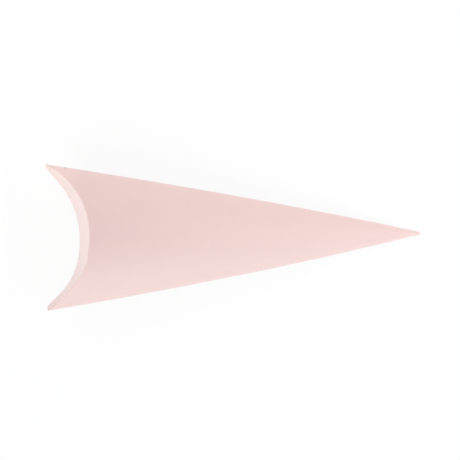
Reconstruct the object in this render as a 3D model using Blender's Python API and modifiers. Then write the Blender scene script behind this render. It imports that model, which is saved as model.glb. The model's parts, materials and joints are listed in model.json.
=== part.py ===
# Paper favor cone: a pillow style cone box folded from one die cut blank of light card.
#
# Two long tapering panels bow apart and meet along two side edges. One side edge is a plain
# fold. The other is the seam, where a tab folded off the front panel is glued inside the back
# panel. The wide end is cut as a concave arc, and a flap folds in from each panel's arc to shut
# it. Everything is worked out in the cone's own frame: x runs from the corners of the mouth to
# the tip, y across, and z through the thickness with the seams at zero. An empty then lays the
# finished cone on its back panel.

import math

import bmesh
import bpy
from mathutils import Matrix, Vector

MM = 0.001

# Overall sizes
LENGTH = 200 * MM
MOUTH_WIDTH = 78.4 * MM
TIP_WIDTH = 1.6 * MM
MOUTH_HEIGHT = 36 * MM
TIP_RISE = 0.1 * MM

# How far the two long edges bow outward halfway along, and how much of it moves to the tip
SIDE_BOW = 1.7 * MM
SIDE_BOW_SKEW = 0.12

# The mouth is an elliptical arc: a roundness near 0 is a parabola, 1 a quarter of an ellipse
NOTCH_DEPTH = 20.8 * MM
NOTCH_ROUNDNESS = 0.84

# Across the cone each panel is flat in the middle and falls faster towards its edges
PANEL_FULLNESS = 2.6
FLAT_SHARE = 0.1

# Half of the gap between the two skins where they meet at the long edges
EDGE_HALF_AT_MOUTH = 0.6 * MM
EDGE_HALF_AT_TIP = 0.45 * MM

# Card, glue and the gaps left between separate solids
CARD = 0.3 * MM
GLUE = 0.1 * MM
SEAT_GAP = 0.3 * MM
HINGE_GAP = 0.4 * MM
LAP_GAP = 0.5 * MM

# Glue tab along the seam, and the bend radius of its fold counted in thicknesses of card
SEAM_ARM = 1.0 * MM
SEAM_BEND_IN_CARDS = 1.2
TAB_WIDTH = 9.0 * MM
TAB_START = 10.3 * MM
TAB_END_SETBACK = 14.0 * MM
TAB_SLANT = 8.0 * MM
TAB_SHARE_OF_CONE = 0.5
GLUE_SHARE_OF_TAB = 0.64

# Closing flaps: the free edge of the outer one springs out a little, and most at a share of the
# way to its ends
FLAP_END_MARGIN = 1.2 * MM
OUTER_SPRING_MIDDLE = 1.5 * MM
OUTER_SPRING_SIDE = 1.8 * MM
OUTER_SPRING_PEAK = 0.83
INNER_LEAN = math.radians(-4.0)
INNER_REACH = 0.6

# Facets across and along a sheet of card
PANEL_FACETS_PER_SIDE = 10
PANEL_FACETS_ALONG = 12
ROWS_BEFORE_FOLD = 2
ROWS_AFTER_FOLD = 2
FLAP_FACETS_ACROSS = 21
FLAP_FACETS_DOWN = 3
TAB_FACETS_ACROSS = 4
TAB_FACETS_ALONG = 12
FOLD_FACETS_ROUND = 6
CREASE_SEARCH_STEPS = 20
SLOPE_STEP = 0.02 * MM
HALF = 0.5

FRONT = 1
BACK = -1

# Derived sizes
HALF_MOUTH = MOUTH_WIDTH / 2
BACK_MOUTH_OFFSET = CARD + LAP_GAP
OUTER_SPRING_POWER = math.log(HALF) / math.log(OUTER_SPRING_PEAK)
GLUE_DEPTH = CARD + SEAT_GAP
TAB_DEPTH = GLUE_DEPTH + GLUE + SEAT_GAP
SEAM_BEND = SEAM_BEND_IN_CARDS * CARD

PINK = (0.88, 0.66, 0.64)
PINK_INSIDE = (0.90, 0.72, 0.70)
GLUE_COLOUR = (0.85, 0.82, 0.74)
FACE_ROUGHNESS = 0.55
FOLD_ROUGHNESS = 0.5
INSIDE_ROUGHNESS = 0.6
GLUE_ROUGHNESS = 0.4


def remove_everything():
    for item in list(bpy.data.objects):
        bpy.data.objects.remove(item, do_unlink=True)


def new_collection(name):
    collection = bpy.data.collections.new(name)
    bpy.context.scene.collection.children.link(collection)
    return collection


def card_material(name, colour, roughness):
    material = bpy.data.materials.new(name)
    material.use_nodes = True
    shader = material.node_tree.nodes["Principled BSDF"]
    shader.inputs["Base Color"].default_value = (*colour, 1.0)
    shader.inputs["Roughness"].default_value = roughness
    shader.inputs["Metallic"].default_value = 0.0
    return material


def mix(low, high, share):
    return low + (high - low) * share


# Shape of the closed cone

def half_width(x):
    """Half of the outer width: a straight taper with a small outward bow."""
    share = x / LENGTH
    straight = mix(HALF_MOUTH, TIP_WIDTH / 2, share)
    bow = SIDE_BOW * 4 * share * (1 - share) * (1 + SIDE_BOW_SKEW * (2 * share - 1))
    return straight + bow


def edge_half(x):
    return mix(EDGE_HALF_AT_MOUTH, EDGE_HALF_AT_TIP, x / LENGTH)


def rise(x):
    """How far the middle of a panel stands above its edges; the middle line is straight."""
    rise_at_notch = MOUTH_HEIGHT / 2 - edge_half(NOTCH_DEPTH)
    return mix(rise_at_notch, TIP_RISE, (x - NOTCH_DEPTH) / (LENGTH - NOTCH_DEPTH))


def edge_slope(x):
    """Angle of a panel to the middle plane at its long edge."""
    return math.atan(PANEL_FULLNESS * rise(x) / half_width(x))


def nose(x):
    """How far the rounded side fold stands out beyond the panels' edges."""
    slope = edge_slope(x)
    return edge_half(x) * (1 - math.sin(slope)) / math.cos(slope)


def base_half_width(x):
    return half_width(x) - nose(x)


def skin_height(x, y):
    share = abs(y) / base_half_width(x)
    return edge_half(x) + rise(x) * (1 - share ** PANEL_FULLNESS)


def skin_point(x, y, side, depth=0.0):
    """A point on a panel's outer face, or at a depth below it along its inward normal."""
    z = skin_height(x, y)
    slope_x = (skin_height(x + SLOPE_STEP, y) - skin_height(x - SLOPE_STEP, y)) / (2 * SLOPE_STEP)
    slope_y = (skin_height(x, y + SLOPE_STEP) - skin_height(x, y - SLOPE_STEP)) / (2 * SLOPE_STEP)
    inward = Vector((slope_x, slope_y, -1)).normalized()
    point = Vector((x, y, z)) + inward * depth
    return Vector((point.x, point.y, side * point.z))


def notch(y):
    """How far the mouth's arc has cut in at a distance y from the middle."""
    share = min(abs(y) / HALF_MOUTH, 1.0)
    corner = math.sqrt(1 - NOTCH_ROUNDNESS ** 2)
    return NOTCH_DEPTH * (math.sqrt(1 - (NOTCH_ROUNDNESS * share) ** 2) - corner) / (1 - corner)


def mouth_of_line(line, offset):
    """Where a lengthwise line, given as its y at each x, meets the mouth's arc."""
    x = 0.0
    for _ in range(CREASE_SEARCH_STEPS):
        x = notch(line(x)) + offset
    return x


# Turning a shape into a solid piece of card

def sheet(name, place, across, along, outward, thickness, material, collection, origin=None):
    """A grid laid over place(a, b), for a and b from 0 to 1, thickened away from outward."""
    origin = origin or Vector((0, 0, 0))
    bm = bmesh.new()
    bmesh.ops.create_grid(bm, x_segments=across, y_segments=along, size=HALF)
    for vertex in bm.verts:
        vertex.co = place(vertex.co.x + HALF, vertex.co.y + HALF) - origin
    bm.normal_update()
    facing = sum((face.normal.dot(outward) for face in bm.faces), 0.0)
    if facing < 0:
        bmesh.ops.reverse_faces(bm, faces=bm.faces)
    for edge in bm.edges:
        edge.smooth = not edge.is_boundary
    mesh = bpy.data.meshes.new(name)
    bm.to_mesh(mesh)
    bm.free()
    mesh.shade_smooth()
    mesh.materials.append(material)
    piece = bpy.data.objects.new(name, mesh)
    piece.location = origin
    solidify = piece.modifiers.new("card thickness", "SOLIDIFY")
    solidify.thickness = thickness
    solidify.offset = -1
    solidify.use_even_offset = True
    solidify.use_quality_normals = True
    collection.objects.link(piece)
    return piece


# Panels

def seam_vertex(x):
    """Where the front skin and the tab's skin would meet: y, and z, of the seam's fold."""
    slope = edge_slope(x)
    reach = (2 * edge_half(x) - TAB_DEPTH / math.cos(slope)) / (2 * math.tan(slope))
    y = base_half_width(x) + reach
    return y, edge_half(x) - reach * math.tan(slope)


def seam_arm_across(x):
    return SEAM_ARM * math.cos(edge_slope(x))


def panel_line(share, plain_edge, seam_edge):
    """A lengthwise line of a panel. Its middle facet keeps a fixed share of the width."""
    count = 2 * PANEL_FACETS_PER_SIDE + 1
    step = round(share * count)
    from_middle = step - count / 2
    side = 1 if from_middle > 0 else -1
    outward = (abs(from_middle) - HALF) / PANEL_FACETS_PER_SIDE
    edge = seam_edge if side > 0 else plain_edge

    def line(x):
        return side * mix(FLAT_SHARE * base_half_width(x), edge(x), outward)
    return line


def plain_edge(x):
    return base_half_width(x) - SEAT_GAP


def front_seam_edge(x):
    """The front panel stops short of the seam's fold, and runs out to the full width past it."""
    beside_fold = seam_vertex(x)[0] - seam_arm_across(x) - SEAT_GAP
    beyond_fold = max(1 - x / TAB_START, 1 - (LENGTH - x) / TAB_END_SETBACK, 0.0)
    return mix(beside_fold, plain_edge(x), beyond_fold)


def along_panel(mouth, share):
    """Crosswise rows stand where the seam's fold starts and ends, and evenly between."""
    rows = PANEL_FACETS_ALONG
    row = round(share * rows)
    fold_start = mouth + TAB_START
    fold_end = LENGTH - TAB_END_SETBACK
    if row <= ROWS_BEFORE_FOLD:
        return mix(mouth, fold_start, row / ROWS_BEFORE_FOLD)
    if row >= rows - ROWS_AFTER_FOLD:
        return mix(LENGTH, fold_end, (rows - row) / ROWS_AFTER_FOLD)
    beside = rows - ROWS_BEFORE_FOLD - ROWS_AFTER_FOLD
    return mix(fold_start, fold_end, (row - ROWS_BEFORE_FOLD) / beside)


def panel(name, side, seam_edge, offset, material, collection):
    def place(a, b):
        line = panel_line(a, plain_edge, seam_edge)
        x = along_panel(mouth_of_line(line, offset), b)
        return skin_point(x, line(x), side)
    across = 2 * PANEL_FACETS_PER_SIDE + 1
    outward = Vector((0, 0, side))
    return sheet(name, place, across, PANEL_FACETS_ALONG, outward, CARD, material, collection)


# Long folds

def side_fold(material, collection):
    """The plain fold: an arc that runs tangent into both panels."""
    def place(a, b):
        x = mix(mouth_of_line(base_half_width, BACK_MOUTH_OFFSET * (1 - a)), LENGTH, b)
        slope = edge_slope(x)
        radius = edge_half(x) / math.cos(slope)
        centre = base_half_width(x) - radius * math.sin(slope)
        angle = mix(slope - math.pi / 2, math.pi / 2 - slope, a)
        return Vector((x, -centre - radius * math.cos(angle), radius * math.sin(angle)))
    outward = Vector((0, -1, 0))
    return sheet("side_fold", place, FOLD_FACETS_ROUND, PANEL_FACETS_ALONG, outward, CARD,
                 material, collection)


def seam_fold(material, collection):
    """The fold between the front panel and the tab, as long as the tab."""
    def place(a, b):
        x = mix(TAB_START, LENGTH - TAB_END_SETBACK, b)
        slope = edge_slope(x)
        vertex_y, vertex_z = seam_vertex(x)
        vertex = Vector((x, vertex_y, vertex_z))
        upper_arm = Vector((0, -math.cos(slope), math.sin(slope)))
        lower_arm = Vector((0, -math.cos(slope), -math.sin(slope)))
        tangent = SEAM_BEND * math.tan(math.pi / 2 - slope)
        across_arm = Vector((0, math.sin(slope), math.cos(slope)))
        centre = vertex + upper_arm * tangent - across_arm * SEAM_BEND
        if a == 0:
            return vertex + upper_arm * SEAM_ARM
        if a == 1:
            return vertex + lower_arm * SEAM_ARM
        share = (a - 1 / FOLD_FACETS_ROUND) / (1 - 2 / FOLD_FACETS_ROUND)
        angle = mix(math.pi / 2 - slope, slope - math.pi / 2, share)
        return centre + Vector((0, math.cos(angle), math.sin(angle))) * SEAM_BEND
    outward = Vector((0, 1, 0))
    return sheet("seam_fold", place, FOLD_FACETS_ROUND, PANEL_FACETS_ALONG, outward, CARD,
                 material, collection)


# Glue tab and its line of glue, inside the back panel

def tab_outer_edge(x):
    slope = edge_slope(x)
    return seam_vertex(x)[0] - seam_arm_across(x) - SEAT_GAP + TAB_DEPTH * math.sin(slope)


def tab_width(x):
    return min(TAB_WIDTH, TAB_SHARE_OF_CONE * base_half_width(x))


def tab_like(name, share, depth, thickness, material, collection):
    """A strip centred on the tab and a share of its size, at a depth below the back's skin."""
    margin = (1 - share) / 2

    def place(a, b):
        across = mix(margin, 1 - margin, a)
        start = TAB_START + TAB_SLANT * across + margin * TAB_WIDTH
        end = LENGTH - TAB_END_SETBACK - TAB_SLANT * across - margin * TAB_WIDTH
        x = mix(start, end, b)
        return skin_point(x, tab_outer_edge(x) - across * tab_width(x), BACK, depth)
    outward = Vector((0, 0, -1))
    return sheet(name, place, TAB_FACETS_ACROSS, TAB_FACETS_ALONG, outward, thickness,
                 material, collection)


# Closing flaps

def flap_end():
    return base_half_width(0.0) - FLAP_END_MARGIN


def outer_hinge():
    return Vector((notch(0.0), 0, skin_height(notch(0.0), 0.0)))


def inner_hinge():
    x = notch(0.0) + BACK_MOUTH_OFFSET
    return Vector((x, 0, -skin_height(x, 0.0)))


def outer_spring(y):
    """How far the outer flap's free edge stands out at a distance y from the middle."""
    share = (abs(y) / HALF_MOUTH) ** OUTER_SPRING_POWER
    return OUTER_SPRING_MIDDLE + OUTER_SPRING_SIDE * 4 * share * (1 - share)


def notch_slant(y):
    """How steeply the mouth's arc slants back at a distance y from the middle."""
    return abs(notch(abs(y) + SLOPE_STEP) - notch(abs(y) - SLOPE_STEP)) / (2 * SLOPE_STEP)


def hinge_room(y):
    """Upright distance from the crease to the flap's edge.

    Both edges of the card slant with the arc. The flap swings out along a slope of the arc's
    depth to the panel's rise, and this lets its edge clear the panel's edge on the way.
    """
    panel_slope = math.atan(PANEL_FULLNESS * rise(0.0) * abs(y) / HALF_MOUTH ** 2)
    card_depth = CARD / math.cos(panel_slope)
    slant = notch_slant(y)
    edges = CARD * (math.sqrt(1 + slant ** 2) + slant)
    return card_depth + edges * NOTCH_DEPTH / (MOUTH_HEIGHT / 2) + HINGE_GAP


def outer_flap(material, collection):
    """Hangs from the front panel's arc and laps over the back panel's arc."""
    def place(a, b):
        y = mix(-flap_end(), flap_end(), a)
        x = notch(y)
        crease = skin_height(x, y)
        top = crease - hinge_room(y)
        bottom = SEAT_GAP - skin_height(x + BACK_MOUTH_OFFSET, y)
        z = mix(top, bottom, b)
        return Vector((x - outer_spring(y) * (crease - z) / (crease - bottom), y, z))
    outward = Vector((-1, 0, 0))
    return sheet("outer_flap", place, FLAP_FACETS_ACROSS, FLAP_FACETS_DOWN, outward, CARD,
                 material, collection, outer_hinge())


def inner_flap(material, collection):
    """Stands up from the back panel's arc, behind the outer flap."""
    def place(a, b):
        y = mix(-flap_end(), flap_end(), a)
        x = notch(y) + BACK_MOUTH_OFFSET
        crease = -skin_height(x, y)
        bottom = crease + hinge_room(y)
        top = mix(crease, -crease, INNER_REACH)
        z = mix(bottom, top, b)
        return Vector((x - (z - crease) * math.tan(INNER_LEAN), y, z))
    outward = Vector((-1, 0, 0))
    return sheet("inner_flap", place, FLAP_FACETS_ACROSS, FLAP_FACETS_DOWN, outward, CARD,
                 material, collection, inner_hinge())


# Laying the cone on its back panel

def resting_pitch():
    """Angle of the back panel's middle facet to the middle plane."""
    start = skin_height(NOTCH_DEPTH, FLAT_SHARE * base_half_width(NOTCH_DEPTH))
    end = skin_height(LENGTH, FLAT_SHARE * base_half_width(LENGTH))
    return math.atan((start - end) / (LENGTH - NOTCH_DEPTH))


def lay_down(pieces, collection):
    """Parents every piece to an empty that rests the back panel on z = 0, centred on x."""
    frame = bpy.data.objects.new("resting_frame", None)
    collection.objects.link(frame)
    for piece in pieces:
        piece.parent = frame
    turn = Matrix.Rotation(resting_pitch(), 4, "Y")
    resting = skin_point(LENGTH, FLAT_SHARE * base_half_width(LENGTH), BACK)
    reach = []
    for piece in pieces:
        for vertex in piece.data.vertices:
            reach.append((turn @ (piece.location + vertex.co)).x)
    frame.rotation_euler = (0, resting_pitch(), 0)
    frame.location = (-(min(reach) + max(reach)) / 2, 0, -(turn @ resting).z)


def build():
    remove_everything()
    collection = new_collection("paper_favor_cone")
    front = panel("front_panel", FRONT, front_seam_edge, 0.0,
                  card_material("pink card, front", PINK, FACE_ROUGHNESS), collection)
    back = panel("back_panel", BACK, half_width, BACK_MOUTH_OFFSET,
                 card_material("pink card, back", PINK, FACE_ROUGHNESS), collection)
    fold = side_fold(card_material("pink card, side fold", PINK, FOLD_ROUGHNESS), collection)
    seam = seam_fold(card_material("pink card, seam fold", PINK, FOLD_ROUGHNESS), collection)
    tab = tab_like("glue_tab", 1.0, TAB_DEPTH, CARD,
                   card_material("pink card, tab", PINK_INSIDE, INSIDE_ROUGHNESS), collection)
    glue = tab_like("glue_strip", GLUE_SHARE_OF_TAB, GLUE_DEPTH, GLUE,
                    card_material("dried glue", GLUE_COLOUR, GLUE_ROUGHNESS), collection)
    outer = outer_flap(card_material("pink card, outer flap", PINK, FACE_ROUGHNESS), collection)
    inner = inner_flap(card_material("pink card, inner flap", PINK, FACE_ROUGHNESS), collection)
    lay_down([front, back, fold, seam, tab, glue, outer, inner], collection)


build()
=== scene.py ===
# %% [markdown]
# # A folded favor cone of pale pink card
# The object is a pillow box drawn out to a point: one die cut blank of card, folded along its
# sides, glued down one of them, and shut by two curved flaps at the wide end. The CAD model gives
# the exact places of its parts, so this script only has to dress them. A dressed copy of a part
# could be painted straight onto the CAD solid, but its facets would show, so each part is laid
# out again as a fine grid on the same curves.

# %% Load the frame
import functools
import json
import math

import bmesh
import bpy
from mathutils import Matrix, Vector


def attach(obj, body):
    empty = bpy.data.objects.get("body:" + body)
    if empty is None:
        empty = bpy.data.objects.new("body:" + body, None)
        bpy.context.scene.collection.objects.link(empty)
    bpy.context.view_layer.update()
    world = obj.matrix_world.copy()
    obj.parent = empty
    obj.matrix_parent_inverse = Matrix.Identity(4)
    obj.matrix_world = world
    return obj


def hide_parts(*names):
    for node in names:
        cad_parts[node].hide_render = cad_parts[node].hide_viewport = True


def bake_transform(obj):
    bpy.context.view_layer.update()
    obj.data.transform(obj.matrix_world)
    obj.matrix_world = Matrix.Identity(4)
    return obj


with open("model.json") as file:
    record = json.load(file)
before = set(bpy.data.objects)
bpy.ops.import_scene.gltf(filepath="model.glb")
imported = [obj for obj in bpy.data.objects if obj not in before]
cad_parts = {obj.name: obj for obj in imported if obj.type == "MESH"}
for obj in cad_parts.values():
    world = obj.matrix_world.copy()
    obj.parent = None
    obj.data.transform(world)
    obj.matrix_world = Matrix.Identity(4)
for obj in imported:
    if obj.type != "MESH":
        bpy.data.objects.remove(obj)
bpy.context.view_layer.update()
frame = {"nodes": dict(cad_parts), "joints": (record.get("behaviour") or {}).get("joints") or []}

# %% [markdown]
# ## Measures of the cone
# A maker starts from the blank's few real sizes. They are the same as in the CAD source: the
# length, the mouth, the arc cut into the mouth, how far each panel bows, and the card. Lengths
# are in metres because the frame is.

# %% The cone's sizes
MM = 0.001
LENGTH = 200 * MM
MOUTH_WIDTH = 78.1 * MM
TIP_WIDTH = 1.5 * MM
TIP_BLUNTNESS = 0.95 * MM
MOUTH_HEIGHT = 36 * MM
TIP_RISE = 0.1 * MM
SIDE_BOW = 1.7 * MM
SIDE_BOW_SKEW = 0.12
NOTCH_DEPTH = 20.8 * MM
NOTCH_ROUNDNESS = 0.84
CREASE_WAVER = 0.8 * MM
WAVER_START = 0.25
PANEL_FULLNESS = 2.6
FLAT_SHARE = 0.1
EDGE_HALF_AT_MOUTH = 0.6 * MM
EDGE_HALF_AT_TIP = 0.45 * MM
CARD = 0.3 * MM
BACK_MOUTH_OFFSET = 0.8 * MM
TAB_START = 10.3 * MM
TAB_END_SETBACK = 14 * MM
TAB_DEPTH = 0.72 * MM
HALF_MOUTH = MOUTH_WIDTH / 2
HALF = 0.5
FRONT = 1
BACK = -1
print("the card is", CARD / MM, "mm thick and the mouth", MOUTH_WIDTH / MM, "mm wide")

# %% [markdown]
# ## The curves of the closed cone
# Card bends but does not stretch, so each panel is straight from the mouth to the tip and only
# curves across. Three small curves say it all: how wide the cone is at each place, how high the
# panel stands over its edges, and how the arc cuts into the mouth.


# %% Curves along and across a panel
def mix(low, high, share):
    return low + (high - low) * share


def half_width(x):
    share = x / LENGTH
    bow = SIDE_BOW * 4 * share * (1 - share) * (1 + SIDE_BOW_SKEW * (2 * share - 1))
    taper = mix(HALF_MOUTH, TIP_WIDTH / 2, share) + bow
    return (taper ** 4 + TIP_BLUNTNESS ** 4) ** 0.25


def edge_half(x):
    return mix(EDGE_HALF_AT_MOUTH, EDGE_HALF_AT_TIP, x / LENGTH)


def rise(x):
    rise_at_notch = MOUTH_HEIGHT / 2 - edge_half(NOTCH_DEPTH)
    return mix(rise_at_notch, TIP_RISE, (x - NOTCH_DEPTH) / (LENGTH - NOTCH_DEPTH))


def edge_slope(x):
    return math.atan(PANEL_FULLNESS * rise(x) / half_width(x))


def base_half_width(x):
    slope = edge_slope(x)
    return half_width(x) - edge_half(x) * (1 - math.sin(slope)) / math.cos(slope)


def skin_height(x, y):
    share = abs(y) / base_half_width(x)
    return edge_half(x) + rise(x) * (1 - share ** PANEL_FULLNESS)


def crease_waver(y):
    """On the plain fold's side the crease first runs deeper than the arc and then shallower."""
    share = (min(-y / HALF_MOUTH, 1.0) - WAVER_START) / (1 - WAVER_START)
    return CREASE_WAVER * math.sin(2 * math.pi * share) if share > 0 else 0.0


def notch(y):
    share = min(abs(y) / HALF_MOUTH, 1.0)
    corner = math.sqrt(1 - NOTCH_ROUNDNESS ** 2)
    arc = NOTCH_DEPTH * (math.sqrt(1 - (NOTCH_ROUNDNESS * share) ** 2) - corner) / (1 - corner)
    return arc + crease_waver(y)


@functools.cache
def line_mouth(t, far_edge, offset):
    """Where a lengthwise line at the share t of the width meets the mouth's arc."""
    x = 0.0
    for _ in range(20):
        x = notch(t * far_edge(x)) + offset
    return x


print("the arc is", NOTCH_DEPTH / MM, "mm deep")
print("the panel stands", round(rise(NOTCH_DEPTH) / MM, 1), "mm proud")

# %% [markdown]
# ## Laying the cone down
# The curves are worked out with the cone level and its mouth at zero. The CAD lays it on its
# back panel, which tips it by the panel's slope. The same turn is made here, and the outer
# flap's hinge in the frame says how far the cone is then moved, so both agree. A cone folded by
# hand is never quite straight: its middle and its tip stray by a fifth of a millimetre.

# %% From the cone's own axes to the frame
TIP_LEAN = 0.2 * MM
AXIS_BEND = 0.18 * MM


def lying_slope():
    start = skin_height(NOTCH_DEPTH, FLAT_SHARE * base_half_width(NOTCH_DEPTH))
    end = skin_height(LENGTH, FLAT_SHARE * base_half_width(LENGTH))
    return math.atan((start - end) / (LENGTH - NOTCH_DEPTH))


lie_down = Matrix.Rotation(lying_slope(), 4, "Y")
hinges = {joint["child"]: Vector(joint["pos_m"]) for joint in frame["joints"]}
outer_hinge = Vector((NOTCH_DEPTH, 0, skin_height(NOTCH_DEPTH, 0)))
move = hinges["outer_flap"] - lie_down @ outer_hinge


def in_frame(point):
    """Bends a point's place slightly, as the hand folded cone is bent, and lays it down."""
    share = max(point.x / LENGTH, 0.0)
    bend = TIP_LEAN * share ** 6 - AXIS_BEND * 4 * share * (1 - share)
    return lie_down @ (point + Vector((0, bend, 0))) + move


print("laid down by", round(math.degrees(lying_slope()), 2), "degrees")

# %% [markdown]
# ## Colours and nodes
# Swatches are easy to read as sRGB hex values, but shaders mix light, which is linear. One
# function turns them. Another adds a node with its settings and its links in one go, which
# keeps a material down to a short list of what feeds what.


# %% Two helpers for materials
def linear(hex_colour):
    channels = [int(hex_colour[i:i + 2], 16) / 255 for i in (1, 3, 5)]
    return [c / 12.92 if c <= 0.04045 else ((c + 0.055) / 1.055) ** 2.4 for c in channels] + [1.0]


def add_node(tree, kind, settings=None, links=None):
    node = tree.nodes.new(kind)
    for name, value in (settings or {}).items():
        if isinstance(name, str) and hasattr(node, name) and name not in node.inputs:
            setattr(node, name, value)
        else:
            node.inputs[name].default_value = value
    for name, source in (links or {}).items():
        tree.links.new(source, node.inputs[name])
    return node


print("pale pink in linear light:", [round(c, 3) for c in linear("#E4C8C4")[:3]])

# %% [markdown]
# ## Dyed card
# The blank is pink card, dyed through and pressed smooth between steel rollers. To the eye it is
# almost plain: soft clouds where the fibres lie thicker, and a fine grain. Clouds in card are
# about 5 mm across. Fibres are 0.05 mm wide, too fine to show, so they are drawn as coarse as
# 0.35 mm. Every sheet carries a map named "sheet" that holds millimetres on the flat blank. The
# fibres are laid on that map, so they follow the card round its folds.

# %% Clouds and fibres
CARD_PINK = "#E4C8C4"


def card_grain(tree, on_sheet):
    """Two noises, for clouds and for fibres, and the dyed colour as both of them vary it."""
    place = add_node(tree, "ShaderNodeTexCoord")
    clouds = add_node(tree, "ShaderNodeTexNoise", {"Scale": 200.0, "Detail": 3.0, "Roughness": 0.55},
                      {"Vector": place.outputs["Object"]}).outputs["Fac"]
    laid = add_node(tree, "ShaderNodeMapping", {"Scale": (2.9, 0.6, 1.0)}, {"Vector": on_sheet})
    fibres = add_node(tree, "ShaderNodeTexNoise", {"Scale": 1.0, "Detail": 4.0, "Roughness": 0.65},
                      {"Vector": laid.outputs["Vector"]}).outputs["Fac"]
    cloud_tone = add_node(tree, "ShaderNodeMapRange", {"To Min": 0.982, "To Max": 1.018}, {"Value": clouds})
    fibre_tone = add_node(tree, "ShaderNodeMapRange", {"To Min": 0.985, "To Max": 1.015}, {"Value": fibres})
    tone = add_node(tree, "ShaderNodeMath", {"operation": "MULTIPLY"},
                    {0: cloud_tone.outputs["Result"], 1: fibre_tone.outputs["Result"]})
    dyed = add_node(tree, "ShaderNodeVectorMath", {"operation": "SCALE", 0: linear(CARD_PINK)[:3]},
                    {"Scale": tone.outputs["Value"]})
    return clouds, fibres, dyed.outputs["Vector"]


print("the card is dyed", CARD_PINK)

# %% [markdown]
# ## Worn folds and painted shade
# Folding breaks the card's face, so a paler line half a millimetre wide runs along each fold.
# Towards the mouth's corners a darker band about 2 mm wide runs beside the crease: painted shade
# for the crease's shadow side. Beside the middle of the arc the panel is painted slightly darker,
# painted shade that fades out over 80 mm. A second map named "edges" holds two distances in
# millimetres: from the nearest side fold, and from the mouth's crease. So all three marks keep
# to their places however fine the grid is.

# %% Worn folds, painted shade in the middle and along the crease
WORN_PINK = "#EDDAD6"
# Painted shade: darker beside the middle of the arc, and along the crease towards the corners.
MIDDLE_SHADE_PINK = "#D2AFAF"
CREASE_SHADE_PINK = "#D2ACA5"
COLOUR_A, COLOUR_B, COLOUR_OUT = 6, 7, 2


def folding_marks(tree, on_sheet, clouds, dyed):
    """The dyed colour with the three marks: the worn line is patchy, as the clouds are."""
    edge_map = add_node(tree, "ShaderNodeUVMap", {"uv_map": "edges"})
    edges = add_node(tree, "ShaderNodeSeparateXYZ", None, {"Vector": edge_map.outputs["UV"]})
    nearest = add_node(tree, "ShaderNodeMath", {"operation": "MINIMUM"},
                       {0: edges.outputs["X"], 1: edges.outputs["Y"]})
    fold_wear = add_node(tree, "ShaderNodeMapRange",
                         {"From Min": 0.0, "From Max": 0.55, "To Min": 0.75, "To Max": 0.0},
                         {"Value": nearest.outputs["Value"]})
    patchy = add_node(tree, "ShaderNodeMath", {"operation": "MULTIPLY"},
                      {0: fold_wear.outputs["Result"], 1: clouds})
    worn = add_node(tree, "ShaderNodeMix", {"data_type": "RGBA", COLOUR_B: linear(WORN_PINK)},
                    {0: patchy.outputs["Value"], COLOUR_A: dyed})
    # Painted shade beside the middle of the arc, fading out away from the mouth.
    far_in = add_node(tree, "ShaderNodeMapRange", {"From Min": 12.0, "From Max": 34.0},
                      {"Value": edges.outputs["X"]})
    by_mouth = add_node(tree, "ShaderNodeMapRange",
                        {"From Min": 5.0, "From Max": 80.0, "To Min": 0.25, "To Max": 0.0},
                        {"Value": edges.outputs["Y"]})
    middle_shade = add_node(tree, "ShaderNodeMath", {"operation": "MULTIPLY"},
                    {0: far_in.outputs["Result"], 1: by_mouth.outputs["Result"]})
    middle_shaded = add_node(tree, "ShaderNodeMix", {"data_type": "RGBA", COLOUR_B: linear(MIDDLE_SHADE_PINK)},
                      {0: middle_shade.outputs["Value"], COLOUR_A: worn.outputs[COLOUR_OUT]})
    sheet = add_node(tree, "ShaderNodeSeparateXYZ", None, {"Vector": on_sheet})
    off_middle = add_node(tree, "ShaderNodeMath", {"operation": "ABSOLUTE"}, {0: sheet.outputs["Y"]})
    # Painted shade along the crease towards the mouth's corners.
    at_corner = add_node(tree, "ShaderNodeMapRange", {"From Min": 24.0, "From Max": 36.0},
                         {"Value": off_middle.outputs["Value"]})
    by_crease = add_node(tree, "ShaderNodeMapRange",
                         {"From Min": 0.3, "From Max": 1.8, "To Min": 0.6, "To Max": 0.0},
                         {"Value": edges.outputs["Y"]})
    pressed = add_node(tree, "ShaderNodeMath", {"operation": "MULTIPLY"},
                       {0: at_corner.outputs["Result"], 1: by_crease.outputs["Result"]})
    crease_shaded = add_node(tree, "ShaderNodeMix", {"data_type": "RGBA", COLOUR_B: linear(CREASE_SHADE_PINK)},
                      {0: pressed.outputs["Value"], COLOUR_A: middle_shaded.outputs[COLOUR_OUT]})
    return crease_shaded.outputs[COLOUR_OUT]


# The middle and crease colours are painted shade.
print("worn folds are", WORN_PINK, "the painted middle shade", MIDDLE_SHADE_PINK, "and the painted crease shade", CREASE_SHADE_PINK)

# %% [markdown]
# ## Painted light at the corner and the dark dot
# The corner past the tab is a little paler than this scene's lamps make it, so a soft spot of
# painted light is laid there. Whether that is wear or light can't be told from one photo. A dark
# dot about a millimetre wide shows where the cut round the tab would meet the seam fold; it is
# taken for a pinhole, and the hole's dark inside is painted shade. Both are painted as soft spots,
# by the distance from their places on the sheet, because a hole in the grid would need far smaller
# cells there.

# %% Soft spots on the sheet
# Painted light for the paler corner, and painted shade for the pinhole's dark inside.
CORNER_LIGHT_PINK = "#F4D6CC"
CORNER = (8.0, 35.0, 0.0)
PINHOLE_SHADE_BROWN = "#B08F8B"
PINHOLE = (TAB_START / MM, base_half_width(TAB_START) / MM, 0.0)


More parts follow.
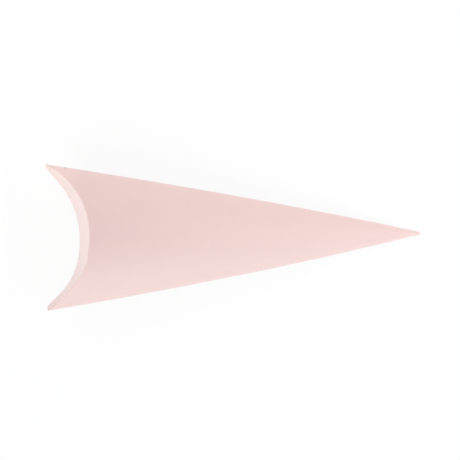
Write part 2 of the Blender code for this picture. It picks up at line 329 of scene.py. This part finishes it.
def soft_spot(tree, on_sheet, colour, place, near, far, share, spot_colour):
    """Mixes in another colour by a share that fades out between two distances in millimetres."""
    away = add_node(tree, "ShaderNodeVectorMath", {"operation": "DISTANCE", 1: place}, {0: on_sheet})
    spot = add_node(tree, "ShaderNodeMapRange",
                    {"From Min": near, "From Max": far, "To Min": share, "To Max": 0.0},
                    {"Value": away.outputs["Value"]})
    mixed = add_node(tree, "ShaderNodeMix", {"data_type": "RGBA", COLOUR_B: linear(spot_colour)},
                     {0: spot.outputs["Result"], COLOUR_A: colour})
    return mixed.outputs[COLOUR_OUT]


print("the pinhole lies at", [round(value, 1) for value in PINHOLE], "mm on the sheet")

# %% [markdown]
# ## The two faces of the card
# The outside has a thin pearl coat. The eye gets it as a broad pale sheen where the face turns
# away, so it is a clear coat with a rough surface over a matt, slightly grained card. The inside
# is the same card without the coat.


# %% Both faces
def card_face(name, coat):
    material = bpy.data.materials.new(name)
    material.use_nodes = True
    tree = material.node_tree
    shader = tree.nodes["Principled BSDF"]
    on_sheet = add_node(tree, "ShaderNodeUVMap", {"uv_map": "sheet"}).outputs["UV"]
    clouds, fibres, dyed = card_grain(tree, on_sheet)
    marked = folding_marks(tree, on_sheet, clouds, dyed)
    # A soft spot of painted light at the corner.
    paler = soft_spot(tree, on_sheet, marked, CORNER, 3.0, 11.0, 0.42, CORNER_LIGHT_PINK)
    # The pinhole's dark dot is painted shade.
    dotted = soft_spot(tree, on_sheet, paler, PINHOLE, 0.35, 0.9, 0.9, PINHOLE_SHADE_BROWN)
    tree.links.new(dotted, shader.inputs["Base Color"])
    rough = add_node(tree, "ShaderNodeMapRange", {"To Min": 0.55, "To Max": 0.65}, {"Value": fibres})
    tree.links.new(rough.outputs["Result"], shader.inputs["Roughness"])
    grain = add_node(tree, "ShaderNodeBump", {"Strength": 0.12, "Distance": 0.00004}, {"Height": fibres})
    tree.links.new(grain.outputs["Normal"], shader.inputs["Normal"])
    shader.inputs["Specular IOR Level"].default_value = 0.25
    shader.inputs["Coat Weight"].default_value = coat
    shader.inputs["Coat Roughness"].default_value = 0.35
    shader.inputs["Coat IOR"].default_value = 1.5
    return material


outer_card = card_face("dyed card, calendered pearl face", 1.0)
inner_card = card_face("dyed card, uncoated inner face", 0.0)
print("materials:", outer_card.name, "and", inner_card.name)

# %% [markdown]
# ## Cut edges and dried glue
# A steel rule die shears the card, so its rim shows the matt core: paler than the coated face and
# a little furry. White craft glue dries to a thin, yellowish film with a soft shine, and keeps the
# ripples of the brush along the strip.


# %% The card's cut rim and the glue
def cut_edge():
    material = bpy.data.materials.new("dyed card, die cut rim")
    material.use_nodes = True
    tree = material.node_tree
    shader = tree.nodes["Principled BSDF"]
    place = add_node(tree, "ShaderNodeTexCoord")
    fluff = add_node(tree, "ShaderNodeTexNoise", {"Scale": 2500.0, "Detail": 4.0},
                     {"Vector": place.outputs["Object"]})
    tone = add_node(tree, "ShaderNodeMix",
                    {"data_type": "RGBA", COLOUR_A: linear("#DDBDB8"), COLOUR_B: linear("#EBD3CE")},
                    {0: fluff.outputs["Fac"]})
    tree.links.new(tone.outputs[COLOUR_OUT], shader.inputs["Base Color"])
    bump = add_node(tree, "ShaderNodeBump", {"Strength": 0.4, "Distance": 0.00005},
                    {"Height": fluff.outputs["Fac"]})
    tree.links.new(bump.outputs["Normal"], shader.inputs["Normal"])
    shader.inputs["Roughness"].default_value = 0.9
    return material


def dried_glue():
    material = bpy.data.materials.new("dried white craft glue, brushed on")
    material.use_nodes = True
    tree = material.node_tree
    shader = tree.nodes["Principled BSDF"]
    place = add_node(tree, "ShaderNodeTexCoord")
    strokes = add_node(tree, "ShaderNodeMapping", {"Scale": (120.0, 900.0, 900.0)},
                       {"Vector": place.outputs["Object"]})
    ripple = add_node(tree, "ShaderNodeTexNoise", {"Scale": 1.0, "Detail": 2.0},
                      {"Vector": strokes.outputs["Vector"]})
    tone = add_node(tree, "ShaderNodeMix",
                    {"data_type": "RGBA", COLOUR_A: linear("#E4DCC8"), COLOUR_B: linear("#F2EEE2")},
                    {0: ripple.outputs["Fac"]})
    tree.links.new(tone.outputs[COLOUR_OUT], shader.inputs["Base Color"])
    bump = add_node(tree, "ShaderNodeBump", {"Strength": 0.5, "Distance": 0.00004},
                    {"Height": ripple.outputs["Fac"]})
    tree.links.new(bump.outputs["Normal"], shader.inputs["Normal"])
    shader.inputs["Roughness"].default_value = 0.35
    shader.inputs["IOR"].default_value = 1.46
    return material


rim_card = cut_edge()
glue = dried_glue()
frame["nodes"]["glue_strip"].data.materials.clear()
frame["nodes"]["glue_strip"].data.materials.append(glue)
print("materials:", rim_card.name, "and", glue.name)

# %% [markdown]
# ## A sheet of card
# Every part of the blank is the same thing: a sheet that follows a curve. A flat grid could be
# bent with modifiers, but the curves are known, so the grid is laid straight onto them, one
# point at a time, and a Solidify modifier gives it the card's thickness on the inside. The grid
# also writes the maps "sheet" and "edges". Its border is marked sharp, so the faces stay smooth
# right up to the cut rim.


# %% A helper that lays a sheet of card
def card_sheet(name, place, size, outward, sheet_map, edge_map, node):
    """A sheet that stands for a CAD node: place, sheet_map and edge_map turn 0-1 shares to points."""
    bm = bmesh.new()
    bmesh.ops.create_grid(bm, x_segments=size[0], y_segments=size[1], size=HALF)
    on_sheet = bm.loops.layers.uv.new("sheet")
    to_edges = bm.loops.layers.uv.new("edges")
    for face in bm.faces:
        for loop in face.loops:
            a, b = loop.vert.co.x + HALF, loop.vert.co.y + HALF
            loop[on_sheet].uv = [value / MM for value in sheet_map(a, b)]
            loop[to_edges].uv = [value / MM for value in edge_map(a, b)]
    for vertex in bm.verts:
        vertex.co = in_frame(place(vertex.co.x + HALF, vertex.co.y + HALF))
    for edge in bm.edges:
        edge.smooth = not edge.is_boundary
    bm.normal_update()
    if sum(face.normal.dot(outward) for face in bm.faces) < 0:
        bmesh.ops.reverse_faces(bm, faces=bm.faces)
    mesh = bpy.data.meshes.new(name)
    bm.to_mesh(mesh)
    bm.free()
    mesh.shade_smooth()
    for material in (outer_card, inner_card, rim_card):
        mesh.materials.append(material)
    piece = bpy.data.objects.new(name, mesh)
    bpy.context.scene.collection.objects.link(piece)
    thick = piece.modifiers.new("card thickness", "SOLIDIFY")
    thick.thickness = CARD
    thick.offset = -1
    thick.use_quality_normals = True
    thick.material_offset = 1
    thick.material_offset_rim = 2
    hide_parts(node)
    print(name, "has", len(mesh.polygons), "faces on its outer side")
    return piece


# %% [markdown]
# ## Along the seam
# The front panel turns under at the seam and becomes the glue tab, and the back panel's cut edge
# is laid over the tab, a little short of the fold. The fold ends 10 mm from the mouth, where the
# tab ends, and a small nick parts it from the cut edges that run on to the corner. They dip in a
# little, and the very corner is a small blunt nub where the blank broke out of its sheet.

# %% The three lines along the seam
SEAM_STEP = 0.5 * MM
SEAM_INSET = 0.15 * MM
NUB = 0.1 * MM
NUB_LENGTH = 0.9 * MM
DIP = 0.1 * MM
NICK = 0.15 * MM
CUT_EDGE_SHORT = 0.75 * MM


def in_seam(x):
    """1 along the fold, 0 past its ends, with a short step between."""
    before = (TAB_START - x) / SEAM_STEP
    past = (x - (LENGTH - TAB_END_SETBACK)) / SEAM_STEP
    return 1 - min(max(before, past, 0.0), 1.0)


def fold_round(x):
    """Centre, radius and slope of the fold's round, which touches the front panel's face."""
    slope = edge_slope(x)
    outermost = half_width(x) - SEAM_INSET * (1 - x / LENGTH)
    reach = (base_half_width(x) - outermost) * math.sin(slope)
    radius = (edge_half(x) * math.cos(slope) + reach) / (1 - math.sin(slope))
    return outermost - radius, radius, slope


def corner_nub(x):
    dip = DIP * math.exp(-((x - 2 * NUB_LENGTH) / (3 * NUB_LENGTH)) ** 2)
    return NUB * math.exp(-(x / NUB_LENGTH) ** 2) - dip


def front_edge(x):
    centre, radius, slope = fold_round(x)
    nick = NICK * math.exp(-((x - TAB_START + SEAM_STEP) / SEAM_STEP) ** 2)
    return mix(base_half_width(x) + corner_nub(x) - nick, centre + radius * math.sin(slope), in_seam(x))


def back_edge(x):
    base = base_half_width(x)
    return base + corner_nub(x) - min(CUT_EDGE_SHORT * in_seam(x), base / 3)


print("halfway along, the seam's fold has a radius of", round(fold_round(LENGTH / 2)[1] / MM, 2), "mm")

# %% [markdown]
# ## Points on a panel
# The middle tenth of each panel is flat in the CAD, so that the cone has something to lie on,
# and the grid keeps to it. A lengthwise line is a fixed share of the panel's width, and lines lie
# closer at the sides, where the card curves most. Cross rows lie closer at both ends, and one
# stands on each end of the seam's fold. Nothing holds the two layers apart at the very tip and
# along the free cut edges, so they are pinched together there.

# %% Pinched ends
CLOSED_GAP = 0.02 * MM
PINCH_WIDTH = 4 * MM
TIP_PRESSED = 6 * MM


def smooth(share):
    share = min(max(share, 0.0), 1.0)
    return share * share * (3 - 2 * share)


def pinch(x, y):
    """How far a panel is pressed in, so that the two layers close at the tip and past the tab."""
    at_edge = edge_half(x) - CARD * math.cos(edge_slope(x)) - CLOSED_GAP
    from_edge = (base_half_width(x) - y) / min(PINCH_WIDTH, base_half_width(x))
    room = skin_height(x, min(abs(y), base_half_width(x))) - CARD - CLOSED_GAP
    pressed = room * smooth(1 - (LENGTH - x) / TIP_PRESSED)
    return max(pressed, at_edge * smooth(1 - from_edge) * (1 - in_seam(x)))


print("the tip is pressed shut over its last", TIP_PRESSED / MM, "mm")

# %% Helpers for the panels' grids
CLOSER_AT_SIDES = 0.85
PANEL_COLUMNS = 56
PANEL_ROWS = 92
ROW_AT_SEAM_START = 8
ROWS_AT_TIP = 10


def face_point(x, y, side, depth=0.0):
    level = max(abs(y), FLAT_SHARE * base_half_width(x))
    step = 0.02 * MM
    slope_x = (skin_height(x + step, level) - skin_height(x - step, level)) / (2 * step)
    slope_y = math.copysign(1, y) * (skin_height(x, level + step) - skin_height(x, level - step)) / (2 * step)
    inward = Vector((slope_x, slope_y, -1)).normalized() * depth
    return Vector((x + inward.x, y + inward.y, side * (skin_height(x, level) - pinch(x, y) + inward.z)))


def across_share(a, far_edge):
    """Share of the half width from -1 to 1, and the edge curve that it is a share of."""
    even = 2 * a - 1
    t = round(mix(even, math.sin(even * math.pi / 2), CLOSER_AT_SIDES), 6)
    return t, far_edge if t > 0 else base_half_width


def along_panel(t, edge, b, offset):
    mouth = line_mouth(t, edge, offset)
    start = mouth + TAB_START - line_mouth(1.0, base_half_width, offset)
    end = LENGTH - TAB_END_SETBACK
    row = round(b * PANEL_ROWS)
    last = PANEL_ROWS - ROWS_AT_TIP
    if row <= ROW_AT_SEAM_START:
        return mix(mouth, start - SEAM_STEP, row / ROW_AT_SEAM_START)
    if row >= last:
        return mix(end + SEAM_STEP, LENGTH, (row - last) / ROWS_AT_TIP)
    return mix(start, end, (row - ROW_AT_SEAM_START - 1) / (last - ROW_AT_SEAM_START - 2))


print("a panel's grid has", PANEL_COLUMNS, "by", PANEL_ROWS, "cells")

# %% [markdown]
# ## The two panels
# Both panels are the same curve, one facing up and one down. The back panel's mouth is set back
# by its flap's thickness, and its far edge is the raw cut edge that shows along the seam. The
# crease's painted shade lies on the panel towards the seam and on the flap towards the plain fold,
# the sides that face away from the stronger lamps; a shift in the map moves the marks off the other side.

# %% Front and back panel
FOLD_REACH = 0.45 * MM
SHADE_SIDE_SHIFT = 4 * MM
MARK_CHANGE = 10 * MM


# Shifts the marks off the side where the crease is lit, so its painted shade keeps to the shaded side.
def shade_side_shift(y):
    return SHADE_SIDE_SHIFT * smooth(y / MARK_CHANGE)


def panel_card(name, side, far_edge, offset, node):
    def at(a, b):
        t, edge = across_share(a, far_edge)
        x = along_panel(t, edge, b, offset + FOLD_REACH)
        return x, t * edge(x)

    def place(a, b):
        x, y = at(a, b)
        return face_point(x, y, side)

    def edge_map(a, b):
        t, edge = across_share(a, far_edge)
        x, y = at(a, b)
        return edge(x) - abs(y), x - line_mouth(t, edge, offset) + shade_side_shift(-y)

    piece = card_sheet(name, place, (PANEL_COLUMNS, PANEL_ROWS), Vector((0, 0, side)), at, edge_map, node)
    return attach(piece, "sleeve")


front_card = panel_card("front_card", FRONT, front_edge, 0.0, "front_panel")
back_card = panel_card("back_card", BACK, back_edge, BACK_MOUTH_OFFSET, "back_panel")

# %% [markdown]
# ## The plain side fold
# On the other side the card simply turns over. The fold is a half round that runs smoothly into
# both panels, so it needs only a few cells around.


# %% Side fold
FOLD_COLUMNS = 10


def side_fold_at(a, b):
    x = mix(line_mouth(1.0, base_half_width, BACK_MOUTH_OFFSET * (1 - a)), LENGTH, b)
    slope = edge_slope(x)
    radius = (edge_half(x) - pinch(x, -HALF_MOUTH)) / math.cos(slope)
    centre = base_half_width(x) - radius * math.sin(slope)
    return x, radius, centre, mix(slope - math.pi / 2, math.pi / 2 - slope, a)


def side_fold_place(a, b):
    x, radius, centre, angle = side_fold_at(a, b)
    return Vector((x, -centre - radius * math.cos(angle), radius * math.sin(angle)))


def side_fold_sheet(a, b):
    x, radius, centre, angle = side_fold_at(a, b)
    return x, -centre - radius * angle


def side_fold_edges(a, b):
    x, radius, centre, angle = side_fold_at(a, b)
    return radius * abs(angle), x


side_fold_card = card_sheet("side_fold_card", side_fold_place, (FOLD_COLUMNS, PANEL_ROWS), Vector((0, -1, 0)),
                            side_fold_sheet, side_fold_edges, "side_fold")
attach(side_fold_card, "sleeve")

# %% [markdown]
# ## The seam's fold and the glue tab
# The fold is a round that starts at the front panel's edge and ends where a straight line to the
# tab touches it. The tab lies inside the back panel, with slanted ends so that it slips in easily.


# %% Seam fold and tab
TAB_WIDTH = 9 * MM
TAB_SLANT = 8 * MM
TAB_EDGE = 1.6 * MM
TAB_COLUMNS = 12


def tab_start(x):
    return base_half_width(x) - min(TAB_EDGE, base_half_width(x) / 3)


def seam_place(a, b):
    x = mix(TAB_START, LENGTH - TAB_END_SETBACK, b)
    tab_point = face_point(x, tab_start(x), BACK, TAB_DEPTH)
    if round(a * FOLD_COLUMNS) == FOLD_COLUMNS:
        return tab_point
    middle, radius, slope = fold_round(x)
    to_tab = Vector((tab_point.y - middle, tab_point.z))
    touch = math.atan2(to_tab.y, to_tab.x) + math.acos(min(radius / to_tab.length, 1.0))
    angle = mix(math.pi / 2 - slope, touch, a * FOLD_COLUMNS / (FOLD_COLUMNS - 1))
    return Vector((x, middle + radius * math.cos(angle), radius * math.sin(angle)))


def seam_sheet(a, b):
    x = mix(TAB_START, LENGTH - TAB_END_SETBACK, b)
    return x, front_edge(x) + 2 * fold_round(x)[1] * a


def seam_edges(a, b):
    x = mix(TAB_START, LENGTH - TAB_END_SETBACK, b)
    return fold_round(x)[1] * abs(2 * a - 1), x


seam_fold_card = card_sheet("seam_fold_card", seam_place, (FOLD_COLUMNS, PANEL_ROWS), Vector((0, 1, 0)),
                            seam_sheet, seam_edges, "seam_fold")
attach(seam_fold_card, "sleeve")


def tab_at(a, b):
    x = mix(TAB_START + TAB_SLANT * a, LENGTH - TAB_END_SETBACK - TAB_SLANT * a, b)
    return x, tab_start(x) - a * min(TAB_WIDTH, base_half_width(x) / 2)


def tab_place(a, b):
    x, y = tab_at(a, b)
    return face_point(x, y, BACK, TAB_DEPTH)


def tab_edges(a, b):
    return TAB_WIDTH, TAB_WIDTH


glue_tab_card = card_sheet("glue_tab_card", tab_place, (TAB_COLUMNS, PANEL_ROWS), Vector((0, 0, -1)),
                           tab_at, tab_edges, "glue_tab")
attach(glue_tab_card, "sleeve")

# %% [markdown]
# ## The closing flaps
# A flap is creased along the panel's arc, so it is bent by it: it hangs as a curved wall across
# the mouth. It springs out a little at its free edge, most near its ends, and on one side more
# than on the other. On the real cone flap and panel are one sheet, so the flap's grid starts
# with the fold itself, a small round that runs from the panel's last row.

# %% Curves of the flaps
SPRING_MIDDLE = 1.4 * MM
SPRING_SIDE = {1: 1.6 * MM, -1: 2.5 * MM}
SPRING_END = 2.3 * MM
SPRING_PEAK = {1: 0.86, -1: 0.87}
SEAT_GAP = 0.3 * MM
INNER_LEAN = math.radians(-4)
INNER_REACH = 0.6
BEND_ROWS = 5
FLAP_ROWS = 30


def outer_spring(y):
    side = 1 if y > 0 else -1
    share = (abs(y) / HALF_MOUTH) ** (math.log(HALF) / math.log(SPRING_PEAK[side]))
    ends = max(0.0, min(1.0, (HALF_MOUTH - abs(y)) / SPRING_END)) ** HALF
    return (SPRING_MIDDLE + SPRING_SIDE[side] * 4 * share * (1 - share)) * ends


def flap_profile(corner, panel_point, foot, b):
    """From the panel's last row round the fold at the corner and on to the flap's free edge."""
    down = foot - corner
    fold = min(FOLD_REACH, down.length / 3)
    turned = corner + down.normalized() * fold
    bend = BEND_ROWS / FLAP_ROWS
    if b < bend:
        share = b / bend
        return panel_point * (1 - share) ** 2 + corner * 2 * share * (1 - share) + turned * share ** 2
    return turned + (foot - turned) * (b - bend) / (1 - bend)


def flap_ends(a, side, far_edge, offset):
    """The crease's corner on a lengthwise line, the panel's last point beside it, and its y."""
    t, edge = across_share(a, far_edge)
    x = line_mouth(t, edge, offset)
    beside = line_mouth(t, edge, offset + FOLD_REACH)
    return face_point(x, t * edge(x), side), face_point(beside, t * edge(beside), side), t * edge(x)


print("the outer flap springs", round(outer_spring(0) / MM, 1), "mm out in the middle")


# %% Where the free edges lie
def outer_foot(corner):
    bottom = SEAT_GAP - skin_height(corner.x + BACK_MOUTH_OFFSET, corner.y)
    return Vector((corner.x - crease_waver(corner.y) - outer_spring(corner.y), corner.y, bottom))


def inner_foot(corner):
    top = mix(corner.z, -corner.z, INNER_REACH)
    return Vector((corner.x - (top - corner.z) * math.tan(INNER_LEAN), corner.y, top))


def inner_edge(x):
    return back_edge(x) - CARD


print("the inner flap reaches", INNER_REACH, "of the way up")


# %% Outer and inner flap
def flap_card(name, side, far_edge, offset, foot_of, node):
    def place(a, b):
        corner, beside, y = flap_ends(a, side, far_edge, offset)
        return flap_profile(corner, beside, foot_of(corner), b)

    def sheet_map(a, b):
        corner, beside, y = flap_ends(a, side, far_edge, offset)
        return corner.x - (foot_of(corner) - corner).length * b, y

    def edge_map(a, b):
        corner, beside, y = flap_ends(a, side, far_edge, offset)
        return TAB_WIDTH, (foot_of(corner) - corner).length * b + shade_side_shift(y)

    size = (PANEL_COLUMNS, FLAP_ROWS)
    return card_sheet(name, place, size, Vector((-1, 0, 0)), sheet_map, edge_map, node)


outer_flap_card = flap_card("outer_flap_card", FRONT, front_edge, 0.0, outer_foot, "outer_flap")
inner_flap_card = flap_card("inner_flap_card", BACK, inner_edge, BACK_MOUTH_OFFSET, inner_foot, "inner_flap")

# %% [markdown]
# ## How far a flap's crease bows
# A rigid flap would tear off its curved crease as it swings, because its hinge is straight. The
# real one stays on the crease and bends. Here each flap is only fixed in place, and the script
# prints how far its crease bows past the line from its middle towards a horn.


def bend_over_crease(piece, side, offset):
    middle = face_point(NOTCH_DEPTH + offset, 0, side)
    horn = face_point(offset, HALF_MOUTH, side)
    along = Vector((middle.x - horn.x, 0, middle.z - horn.z)).normalized()
    down = Vector((along.z, 0, -along.x)) * side
    proud = 0.0
    for step in range(PANEL_COLUMNS + 1):
        corner = flap_ends(step / PANEL_COLUMNS, side, base_half_width, offset)[0]
        proud = max(proud, (corner - middle).dot(down))
    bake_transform(piece)
    print(piece.name, "bends from", round(proud / MM, 1), "mm past the crease")


bend_over_crease(outer_flap_card, FRONT, 0.0)
bend_over_crease(inner_flap_card, BACK, BACK_MOUTH_OFFSET)

# %% [markdown]
# ## Floor, lamps and camera
# The cone lies on a plain white table. Rays from the camera and mirror-like rays see the table
# and the room as white, while the table keeps the cone's shadow. From below the table is clear,
# so the underside can be looked at too.

# %% Floor
WHITE_SHARE = 0.85


def white_floor():
    material = bpy.data.materials.new("white paper backdrop, matt")
    material.use_nodes = True
    tree = material.node_tree
    tree.nodes.clear()
    matt = add_node(tree, "ShaderNodeBsdfDiffuse", {"Color": linear("#F4F4F4")})
    white = add_node(tree, "ShaderNodeEmission", {"Color": linear("#FFFFFF"), "Strength": 1.0})
    clear = add_node(tree, "ShaderNodeBsdfTransparent")
    rays = add_node(tree, "ShaderNodeLightPath")
    seen = add_node(tree, "ShaderNodeMath", {"operation": "MAXIMUM"},
                    {0: rays.outputs["Is Camera Ray"], 1: rays.outputs["Is Glossy Ray"]})
    seen = add_node(tree, "ShaderNodeMath", {"operation": "MAXIMUM"},
                    {0: seen.outputs["Value"], 1: rays.outputs["Is Transmission Ray"]})
    share = add_node(tree, "ShaderNodeMath", {"operation": "MULTIPLY", 1: WHITE_SHARE},
                     {0: seen.outputs["Value"]})
    mixed = add_node(tree, "ShaderNodeMixShader", None,
                     {0: share.outputs["Value"], 1: matt.outputs["BSDF"], 2: white.outputs["Emission"]})
    side = add_node(tree, "ShaderNodeNewGeometry")
    from_above = add_node(tree, "ShaderNodeMixShader", None,
                          {0: side.outputs["Backfacing"], 1: mixed.outputs["Shader"],
                           2: clear.outputs["BSDF"]})
    add_node(tree, "ShaderNodeOutputMaterial", None, {"Surface": from_above.outputs["Shader"]})
    return material


bm = bmesh.new()
bmesh.ops.create_circle(bm, cap_ends=True, segments=64, radius=4.0)
floor_mesh = bpy.data.meshes.new("floor")
bm.to_mesh(floor_mesh)
bm.free()
floor_mesh.materials.append(white_floor())
floor = bpy.data.objects.new("floor", floor_mesh)
bpy.context.scene.collection.objects.link(floor)
print("floor:", floor_mesh.materials[0].name)

# %% [markdown]
# ## Room and lamps
# The room is a weak even light that only the card's matt part gets; its coat mirrors a white
# room. Two large far lamps stand at the mouth's two sides, the stronger one at the plain fold's
# side with daylight's slightly cool tint, and three small near ones fill in. Mirror-like rays
# don't see the lamps, or the coat would show them as glaring squares from the sides.

# %% Room
ROOM_LIGHT = 0.33
world = bpy.data.worlds.new("pale room")
world.use_nodes = True
bpy.context.scene.world = world
room = world.node_tree
room.nodes.clear()
rays = add_node(room, "ShaderNodeLightPath")
camera_or_gloss = add_node(room, "ShaderNodeMath", {"operation": "MAXIMUM"},
                           {0: rays.outputs["Is Camera Ray"], 1: rays.outputs["Is Glossy Ray"]})
seen = add_node(room, "ShaderNodeMath", {"operation": "MAXIMUM"},
                {0: camera_or_gloss.outputs["Value"], 1: rays.outputs["Is Transmission Ray"]})
level = add_node(room, "ShaderNodeMapRange", {"To Min": ROOM_LIGHT, "To Max": 1.0},
                 {"Value": seen.outputs["Value"]})
glow = add_node(room, "ShaderNodeBackground", {"Color": linear("#FFFFFF")},
                {"Strength": level.outputs["Result"]})
add_node(room, "ShaderNodeOutputWorld", None, {"Surface": glow.outputs["Background"]})
print("the room lights the card with", ROOM_LIGHT, "of white")


# %% Lamps
LAMP_HEIGHT = math.radians(30)


def softbox(name, bearing, distance, size, watts, colour):
    lamp = bpy.data.lights.new(name, "AREA")
    lamp.shape = "SQUARE"
    lamp.size = size
    lamp.energy = watts
    lamp.color = linear(colour)[:3]
    holder = bpy.data.objects.new(name, lamp)
    slant = Vector((math.cos(LAMP_HEIGHT), 0, math.sin(LAMP_HEIGHT)))
    away = Matrix.Rotation(math.radians(bearing), 3, "Z") @ slant
    holder.location = away * distance
    holder.rotation_mode = "QUATERNION"
    holder.rotation_quaternion = away.to_track_quat("Z", "Y")
    holder.visible_camera = False
    holder.visible_glossy = False
    bpy.context.scene.collection.objects.link(holder)
    return holder


softbox("lamp_seam_horn", 135, 1.2, 0.9, 4.65, "#FFFEFD")
softbox("lamp_fold_horn", 225, 1.2, 0.9, 9.49, "#F5FFFE")
softbox("lamp_tip", 0, 0.45, 0.35, 0.99, "#F8FBFF")
softbox("lamp_fold_side", 280, 0.45, 0.35, 0.42, "#FFFDFD")
softbox("lamp_seam_side", 80, 0.45, 0.35, 0.61, "#FFF8F4")

# %% [markdown]
# ## The camera
# The photograph was taken from far away and almost straight above, a little from the plain
# fold's side and the mouth's side. The angles, the turn in the picture and the scale were found
# by laying the cone's curves over its outline.

# %% Camera
CAMERA_DISTANCE = 3.0
PIXELS_PER_MM = 1.8852
PICTURE_PIXELS = 460
TURN_IN_PICTURE = math.radians(1.148)
TILT_TO_MOUTH = math.radians(1.748)
TILT_TO_FOLD = math.radians(-4.381)
AIM = Vector((0, 0, 18 * MM))
AIM_FROM_CENTRE = Vector((4.034, -4.222))

camera = bpy.data.cameras.new("camera")
camera.sensor_width = 36.0
camera.lens = camera.sensor_width * CAMERA_DISTANCE / (PICTURE_PIXELS / PIXELS_PER_MM * MM)
camera.clip_start = 0.1
camera.clip_end = 50.0
camera_holder = bpy.data.objects.new("camera", camera)
bpy.context.scene.collection.objects.link(camera_holder)
world_to_camera = (Matrix.Rotation(TURN_IN_PICTURE, 3, "Z") @ Matrix.Rotation(TILT_TO_FOLD, 3, "X")
                   @ Matrix.Rotation(TILT_TO_MOUTH, 3, "Y"))
across, up = -AIM_FROM_CENTRE / PIXELS_PER_MM * MM
offset = Vector((across, up, CAMERA_DISTANCE))
camera_holder.rotation_mode = "QUATERNION"
camera_holder.rotation_quaternion = world_to_camera.transposed().to_quaternion()
camera_holder.location = AIM + world_to_camera.transposed() @ offset
bpy.context.scene.camera = camera_holder
bpy.context.scene.view_settings.view_transform = "Standard"
print("lens", round(camera.lens, 1), "mm, camera at", [round(v, 3) for v in camera_holder.location])

# %% [markdown]
# ## Finish
# The scene is brought up to date at the end. The dressed cone has to stay inside the CAD's
# box.

# %% Bring the scene up to date
bpy.context.view_layer.update()
